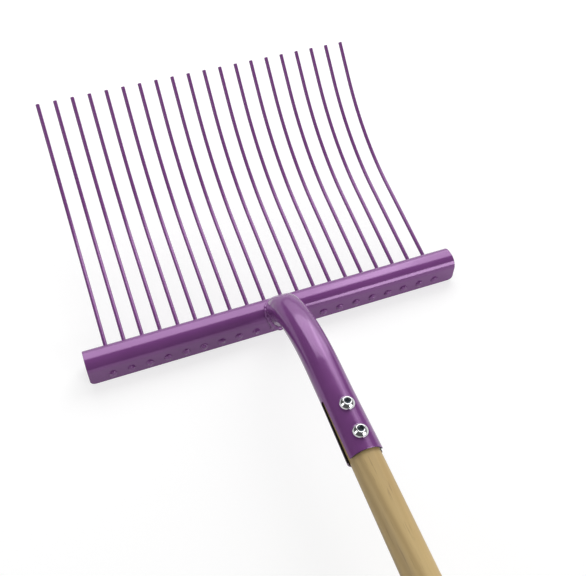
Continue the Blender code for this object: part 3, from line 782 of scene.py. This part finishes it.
class FORK_OT_neck(bpy.types.Operator):
    """Bend the neck's tube, cut its saddle and split its socket"""

    bl_idname = "fork.neck"
    bl_label = "Neck and socket"

    def tube(self, name, inset, rounding, overcut):
        """The tube's outside, or with an inset its bore, as a solid that goes past the mouth by the
        overcut. The rounding narrows the mouth, or widens it where it is negative."""
        s = sizes()
        rows = [(foot_frame(s.foot_length * step / FOOT_STEPS + overcut), 0.0)
                for step in range(FOOT_STEPS, 0, -1)]
        for low, high, steps in ((s.elbow_rise, s.neck_rise, ELBOW_STEPS),
                                 (-s.handle_drop, s.elbow_rise, BEND_STEPS)):
            for step in range(steps):
                rows.append((bend_frame(high + (low - high) * step / steps), 0.0))
        rows.append((socket_frame(0), 0.0))
        start = s.socket_length - s.slit_length
        for step in range(SOCKET_STEPS + 1):
            distance = start + (s.slit_length - abs(rounding)) * step / SOCKET_STEPS
            rows.append((socket_frame(distance), socket_growth(distance)))
        rows.append((socket_frame(s.socket_length), s.socket_flare - rounding))
        if overcut > 0:
            rows.append((socket_frame(s.socket_length + overcut), s.socket_flare - rounding))
        radius = s.neck_diameter / 2 - inset
        bm = bmesh.new()
        loft(bm, [(matrix, radius + growth) for matrix, growth in rows], s.tube_sides)
        for vert in bm.verts:
            vert.co = pressed(vert.co, inset)
        return object_from(bm, name)

    def saddle(self):
        """The header's top, and all that lies below it and in front of it, as a tool."""
        s = sizes()
        outline = saddle_outline()
        front = HEADER_DEPTH + s.neck_diameter
        bottom, half = -0.03, 0.05
        outline = [(outline[0][0], bottom)] + outline + [(front, outline[-1][1]), (front, bottom)]
        return prism("saddle_tool", [Vector((-half, HEADER_LOW.y + y, z)) for y, z in outline],
                     (2 * half, 0, 0))

    def slit(self):
        """The wedge that splits the socket on both sides, round at its closed end, as a tool."""
        s = sizes()
        half_end = s.slit_end / 2
        closed = s.socket_length - s.slit_length + half_end
        mouth = s.socket_length + 0.004
        half = 0.03
        outline = arc((-closed, s.slit_offset + half_end), half_end, math.pi / 2, -math.pi, SLIT_STEPS)
        outline += [(-mouth, s.slit_offset), (-mouth, s.slit_offset + s.slit_mouth)]
        place = screw_frame(0)
        return prism("slit_tool", [place @ Vector((-half, y, z)) for y, z in outline],
                     place.to_3x3() @ Vector((2 * half, 0, 0)))

    def holes(self):
        """A drill for each screw, as a tool."""
        s = sizes()
        places = [screw_frame(distance) for distance in screw_places()]
        radius = s.screw_diameter / 2 + s.gap
        return drills("screw_hole_tool", places, -0.03, 0.03, radius, HOLE_SIDES)

    def execute(self, context):
        s = sizes()
        neck = self.tube("neck_tube", 0.0, STEEL_EDGE, 0.0)
        cut(neck, self.tube("neck_bore", s.neck_wall, -STEEL_EDGE, 0.002))
        cut(neck, self.saddle())
        cut(neck, self.slit())
        cut(neck, self.holes())
        smooth(neck, 30)
        # The second finish is dark steel that also serves as painted shade inside the socket and in its
        # slits
        finish_piece(neck, [gloss_paint(), mill_scale()], "paint", "neck_socket")
        self.darken_inside_with_scale_and_shade(neck, s.neck_diameter / 2 - s.neck_wall)
        return {"FINISHED"}

    def darken_inside_with_scale_and_shade(self, neck, bore):
        """Gives the socket's inside and the sawn edges of its slits the dark finish, which is bare
        steel and painted shade in one.
        """
        s = sizes()
        into = screw_frame(0).inverted()
        widest_bore = bore + s.socket_flare + 0.0003
        sawn_from, sawn_to, sawn_height = bore - 0.002, s.neck_diameter / 2 + 0.001, 0.009
        # Bore faces and sawn slit edges get the near-black finish as painted shade
        for face in neck.data.polygons:
            centre = into @ face.center
            normal = into.to_3x3() @ face.normal
            if centre.y > 0:
                continue
            radial = Vector((centre.x, 0, centre.z))
            inside = radial.dot(normal) < 0 and radial.length < widest_bore
            upright = abs(normal.z) > 0.9 and abs(centre.z) < sawn_height
            if inside or (upright and radial.length < sawn_to and abs(centre.x) > sawn_from):
                face.material_index = 1


class FORK_OT_neck_bead(bpy.types.Operator):
    """Lay the rippled weld bead round the neck's foot"""

    bl_idname = "fork.neck_bead"
    bl_label = "Neck weld bead"

    def execute(self, context):
        s = sizes()
        count = BEAD_STEPS
        points = [saddle_point(math.tau * step / count) for step in range(count)]
        rings = []
        for index, (point, outwards) in enumerate(points):
            tangent = (points[(index + 1) % count][0] - points[index - 1][0]).normalized()
            across = tangent.cross(outwards).normalized()
            turned = Matrix((across.cross(tangent), across, tangent)).transposed().to_4x4()
            ripple = abs(math.sin(math.pi * BEAD_RIPPLES * index / count))
            lump = noise.noise(point * BEAD_LUMPS)
            frontness = ((1 - math.cos(math.tau * index / count)) / 2) ** 3
            diameter = s.bead_diameter + (s.bead_front - s.bead_diameter) * frontness
            radius = diameter / 2 * (BEAD_LEAST + BEAD_RIPPLE * ripple + BEAD_LUMP * lump)
            rings.append((Matrix.Translation(point) @ turned, radius))
        bm = bmesh.new()
        loft(bm, rings, BEAD_SIDES, close=True)
        bead = object_from(bm, "neck_bead")
        smooth(bead, 60)
        finish_piece(bead, [gloss_paint()], "paint")
        return {"FINISHED"}


# Handle


class FORK_OT_handle(bpy.types.Operator):
    """Turn the wooden handle"""

    bl_idname = "fork.handle"
    bl_label = "Handle"

    def seat_radius(self, distance):
        """The handle's radius inside the socket, this far behind the bend."""
        s = sizes()
        bore = s.neck_diameter / 2 - s.neck_wall
        return bore - s.gap + s.handle_taper * (distance - (s.socket_length - s.slit_length))

    def profile(self):
        """(distance behind the bend, radius) from the tip in the neck to the butt."""
        s = sizes()
        mouth = s.socket_length
        tip = mouth - s.handle_depth
        butt = tip + s.handle_length
        grip = s.grip_diameter / 2
        grip_start = tip + s.handle_length * s.grip_start
        chamfer = 0.0015
        points = [(tip, self.seat_radius(tip) - chamfer),
                  (tip + chamfer, self.seat_radius(tip + chamfer))]
        mouth_radius = self.seat_radius(mouth)
        for step in range(HANDLE_STEPS + 1):
            share = step / HANDLE_STEPS
            radius = mouth_radius + (grip - mouth_radius) * math.sin(share * math.pi / 2)
            points.append((mouth + (grip_start - mouth) * share, radius))
        return points + arc((butt - s.butt_radius, grip - s.butt_radius), s.butt_radius,
                            math.pi / 2, -math.pi / 2, BUTT_STEPS)

    def execute(self, context):
        rings = [(socket_frame(distance), radius) for distance, radius in self.profile()]
        bm = bmesh.new()
        loft(bm, rings, sizes().tube_sides)
        handle = object_from(bm, "handle_wood")
        smooth(handle)
        finish_piece(handle, [turned_wood()], "wood", "handle_shaft")
        return {"FINISHED"}


# Screws and nuts


def squeeze_to_hexagon(verts, place, width):
    """Moves a ring of vertices in or out, onto a hexagon of this width across flats."""
    back = place.inverted()
    for vert in verts:
        flat = back @ vert.co
        angle = math.atan2(flat.y, flat.x) % (math.pi / 3) - math.pi / 6
        reach = width / 2 / math.cos(angle) / math.hypot(flat.x, flat.y)
        vert.co = place @ Vector((flat.x * reach, flat.y * reach, flat.z))


class FORK_OT_screws(bpy.types.Operator):
    """Turn the two button head screws and their threads"""

    bl_idname = "fork.screws"
    bl_label = "Screws"

    def crown(self, low, rise, rim, ring):
        """(height, radius) up the head's round crown, from its rim to the ring round the recess."""
        drop = (rim * rim - ring * ring - rise * rise) / (2 * rise)
        ball = math.hypot(rim, drop)
        start = math.atan2(drop, rim)
        dome = arc((0.0, low - drop), ball, start, math.acos(ring / ball) - start, CROWN_STEPS)
        return [(height, radius) for radius, height in dome]

    def screw(self, name, distance):
        s = sizes()
        place = screw_frame(distance)
        seat = screw_seat(distance)
        under_nut = -seat - s.nut_height
        shank = s.screw_diameter / 2
        rim = s.head_diameter / 2
        ring = s.head_ring / 2
        tip = under_nut - s.screw_overhang
        thread_depth, tip_chamfer, rim_round, rim_rise = 0.0006, 0.0005, 0.0003, 0.0001
        recess_edge, drill_point, drill_share = 0.0002, 0.0006, 0.4
        root = shank - thread_depth
        profile = [(tip, root - thread_depth), (tip + tip_chamfer, root), (under_nut, root),
                   (under_nut, shank), (seat, shank), (seat, rim - rim_round), (seat + rim_rise, rim)]
        top = seat + s.head_height
        profile += self.crown(seat + s.head_rim, s.head_height - s.ring_proud - s.head_rim, rim, ring)
        corner = s.hex_width / math.sqrt(3)
        lip = (ring - corner) / 2
        for step in range(1, RING_STEPS + 1):
            angle = math.pi * step / RING_STEPS
            profile.append((top - s.ring_proud * (1 - math.sin(angle)),
                            corner + lip + lip * math.cos(angle)))
        profile += [(top - s.ring_proud - recess_edge, corner), (top - s.hex_depth, corner),
                    (top - s.hex_depth - drill_point, corner * drill_share)]
        bm = bmesh.new()
        loops = loft(bm, on_axis(place, profile), SCREW_SIDES)
        for loop in loops[-3:]:
            squeeze_to_hexagon(loop, place, s.hex_width)
        squeeze_to_hexagon(loops[-1], place, s.hex_width * drill_share)
        screw = object_from(bm, name + "_turned")
        smooth(screw, 30)
        finish_piece(screw, [bright_chrome(), recess_grime()], "chrome", name)
        # Faces inside the recess take the second finish, darkened as painted shade of the hollow with
        # grease
        back = place.inverted()
        reach = corner * 1.02
        for face in screw.data.polygons:
            centre = back @ face.center
            if seat < centre.z < top - s.ring_proud and math.hypot(centre.x, centre.y) < reach:
                face.material_index = 1

    def thread(self, name, distance):
        """The turn of thread that shows below the nut."""
        s = sizes()
        crest = s.screw_diameter / 2
        root = crest - 0.0007
        flat = 0.0001
        start = -screw_seat(distance) - s.nut_height - s.screw_overhang + 0.0004
        half = s.thread_pitch * 0.42
        turns = 1.1
        corners = [(root, start - half), (crest, start - flat), (crest, start + flat),
                   (root, start + half)]
        bm = bmesh.new()
        face = bm.faces.new([bm.verts.new((x, 0, z + half)) for x, z in corners])
        bmesh.ops.spin(bm, geom=[face] + face.edges[:] + face.verts[:], cent=(0, 0, 0), axis=(0, 0, 1),
                       dvec=(0, 0, s.thread_pitch * turns / THREAD_STEPS), angle=math.tau * turns,
                       steps=THREAD_STEPS, use_duplicate=False)
        bmesh.ops.transform(bm, matrix=screw_frame(distance), verts=bm.verts)
        thread = object_from(bm, name + "_thread")
        smooth(thread, 40)
        finish_piece(thread, [dull_plating()], "chrome")

    def execute(self, context):
        for name, distance in zip(SCREW_NODES, screw_places()):
            self.screw(name, distance)
            self.thread(name, distance)
        return {"FINISHED"}


class FORK_OT_nuts(bpy.types.Operator):
    """Make the two hexagon nuts under the socket"""

    bl_idname = "fork.nuts"
    bl_label = "Nuts"

    def execute(self, context):
        s = sizes()
        hole = s.screw_diameter / 2 + s.gap
        hole_edge = 0.0004
        corner = s.nut_width / 2
        circle = s.nut_width / 2 * 0.97
        slope = math.tan(math.radians(30))
        for name, distance in zip(NUT_NODES, screw_places()):
            place = screw_frame(distance)
            top = -screw_seat(distance)
            low = top - s.nut_height
            profile = [(top, hole + hole_edge), (top, circle), (top, corner), (low, corner),
                       (low, circle), (low, hole + hole_edge), (low + hole_edge, hole),
                       (top - hole_edge, hole)]
            bm = bmesh.new()
            loops = loft(bm, on_axis(place, profile), SCREW_SIDES, close=True)
            back = place.inverted()
            for loop, sign in ((loops[2], -1), (loops[3], 1)):
                squeeze_to_hexagon(loop, place, s.nut_width)
                for vert in loop:
                    flat = back @ vert.co
                    flat.z += sign * (math.hypot(flat.x, flat.y) - circle) * slope
                    vert.co = place @ flat
            nut = object_from(bm, name + "_cut")
            smooth(nut, 25)
            finish_piece(nut, [dull_plating()], "chrome", name)
        return {"FINISHED"}


# Studio


class FORK_OT_studio(bpy.types.Operator):
    """Set the floor, lights and camera"""

    bl_idname = "fork.studio"
    bl_label = "Studio"

    def white(self, nodes, level, camera, gloss):
        """A level of light that is raised by these amounts for the camera, and for gloss and glass."""
        rays = [nodes.add("ShaderNodeLightPath", {}, {}, name)
                for name in ("Is Camera Ray", "Is Glossy Ray", "Is Transmission Ray")]
        return rays[0] * camera + (rays[1] + rays[2]) * gloss + level

    def floor(self):
        """A pale floor that shows white, less the fork's shadow, and plain white further off."""
        bm = bmesh.new()
        bmesh.ops.create_grid(bm, x_segments=2, y_segments=2, size=FLOOR_REACH)
        bmesh.ops.translate(bm, vec=(0, 0, -FLOOR_DROP), verts=bm.verts)
        floor = object_from(bm, "studio_floor")
        s = studio()
        r = Recipe("studio_floor", Roughness=1.0, Specular_IOR_Level=0.0, Emission_Strength=1.0,
                   Base_Color=(s.floor, s.floor, s.floor))
        distance = r.add("ShaderNodeVectorMath", {"operation": "LENGTH"}, {0: r.place}, 1)
        glow = r.spread(distance, s.fade_start, s.fade_end, s.floor_glow, 1.0)
        r.feed(r.shader.inputs["Emission Color"], self.white(r, 0.0, glow, s.floor_gloss))
        floor.data.materials.append(r.material)

    def world(self):
        """A dim room, which shows white behind the floor."""
        world = bpy.data.worlds.new("studio_room")
        bpy.context.scene.world = world
        world.use_nodes = True
        s = studio()
        nodes = Nodes(world.node_tree)
        level = self.white(nodes, s.room, 1 - s.room, s.room_gloss - s.room)
        nodes.feed(world.node_tree.nodes["Background"].inputs["Color"], level)

    def softbox(self, name, azimuth, elevation, distance, size, brightness):
        """A flat light that faces the neck, this many degrees round from the front and up."""
        azimuth, elevation = math.radians(azimuth), math.radians(elevation)
        away = Vector((math.sin(azimuth) * math.cos(elevation),
                       math.cos(azimuth) * math.cos(elevation), math.sin(elevation)))
        data = bpy.data.lights.new(name, "AREA")
        data.shape = "RECTANGLE"
        data.size, data.size_y = size
        data.energy = brightness * math.pi * size[0] * size[1]
        lamp = bpy.data.objects.new(name, data)
        bpy.context.scene.collection.objects.link(lamp)
        lamp.location = LIT_PLACE + away * distance
        lamp.rotation_euler = away.to_track_quat("Z", "Y").to_euler()

    def camera(self):
        s = studio()
        data = bpy.data.cameras.new("camera")
        data.lens = s.lens
        data.sensor_width = 36
        data.clip_end = 50
        camera = bpy.data.objects.new("camera", data)
        bpy.context.scene.collection.objects.link(camera)
        camera.location = Vector(s.camera_place) + Vector((0, HEADER_LOW.y, 0))
        camera.rotation_euler = s.camera_turn
        bpy.context.scene.camera = camera

    def execute(self, context):
        self.floor()
        self.world()
        for row in SOFTBOXES:
            self.softbox(*row)
        self.camera()
        context.scene.view_settings.view_transform = "Standard"
        return {"FINISHED"}


PIECE_OPERATORS = (FORK_OT_tines, FORK_OT_plug_welds, FORK_OT_header, FORK_OT_neck, FORK_OT_neck_bead,
                   FORK_OT_handle, FORK_OT_screws, FORK_OT_nuts, FORK_OT_studio)


class FORK_PT_panel(bpy.types.Panel):
    """Lists the fork's pieces in the sidebar"""

    bl_label = "Manure fork"
    bl_idname = "FORK_PT_panel"
    bl_space_type = "VIEW_3D"
    bl_region_type = "UI"
    bl_category = "Fork"

    def draw(self, context):
        for operator in PIECE_OPERATORS:
            self.layout.operator(operator.bl_idname)
        for group in (sizes(), colours(), studio()):
            box = self.layout.box()
            for name in group.__annotations__:
                box.prop(group, name)


CLASSES = (ForkSizes, ForkColours, StudioSettings) + PIECE_OPERATORS + (FORK_PT_panel,)


def register():
    for item in CLASSES:
        bpy.utils.register_class(item)
    bpy.types.Scene.fork_sizes = bpy.props.PointerProperty(type=ForkSizes)
    bpy.types.Scene.fork_colours = bpy.props.PointerProperty(type=ForkColours)
    bpy.types.Scene.fork_studio = bpy.props.PointerProperty(type=StudioSettings)


def unregister():
    del bpy.types.Scene.fork_studio
    del bpy.types.Scene.fork_colours
    del bpy.types.Scene.fork_sizes
    for item in reversed(CLASSES):
        bpy.utils.unregister_class(item)


def main():
    register()
    bpy.ops.fork.tines()
    bpy.ops.fork.plug_welds()
    bpy.ops.fork.header()
    bpy.ops.fork.neck()
    bpy.ops.fork.neck_bead()
    bpy.ops.fork.handle()
    bpy.ops.fork.screws()
    bpy.ops.fork.nuts()
    bpy.ops.fork.studio()


if __name__ == "__main__":
    main()
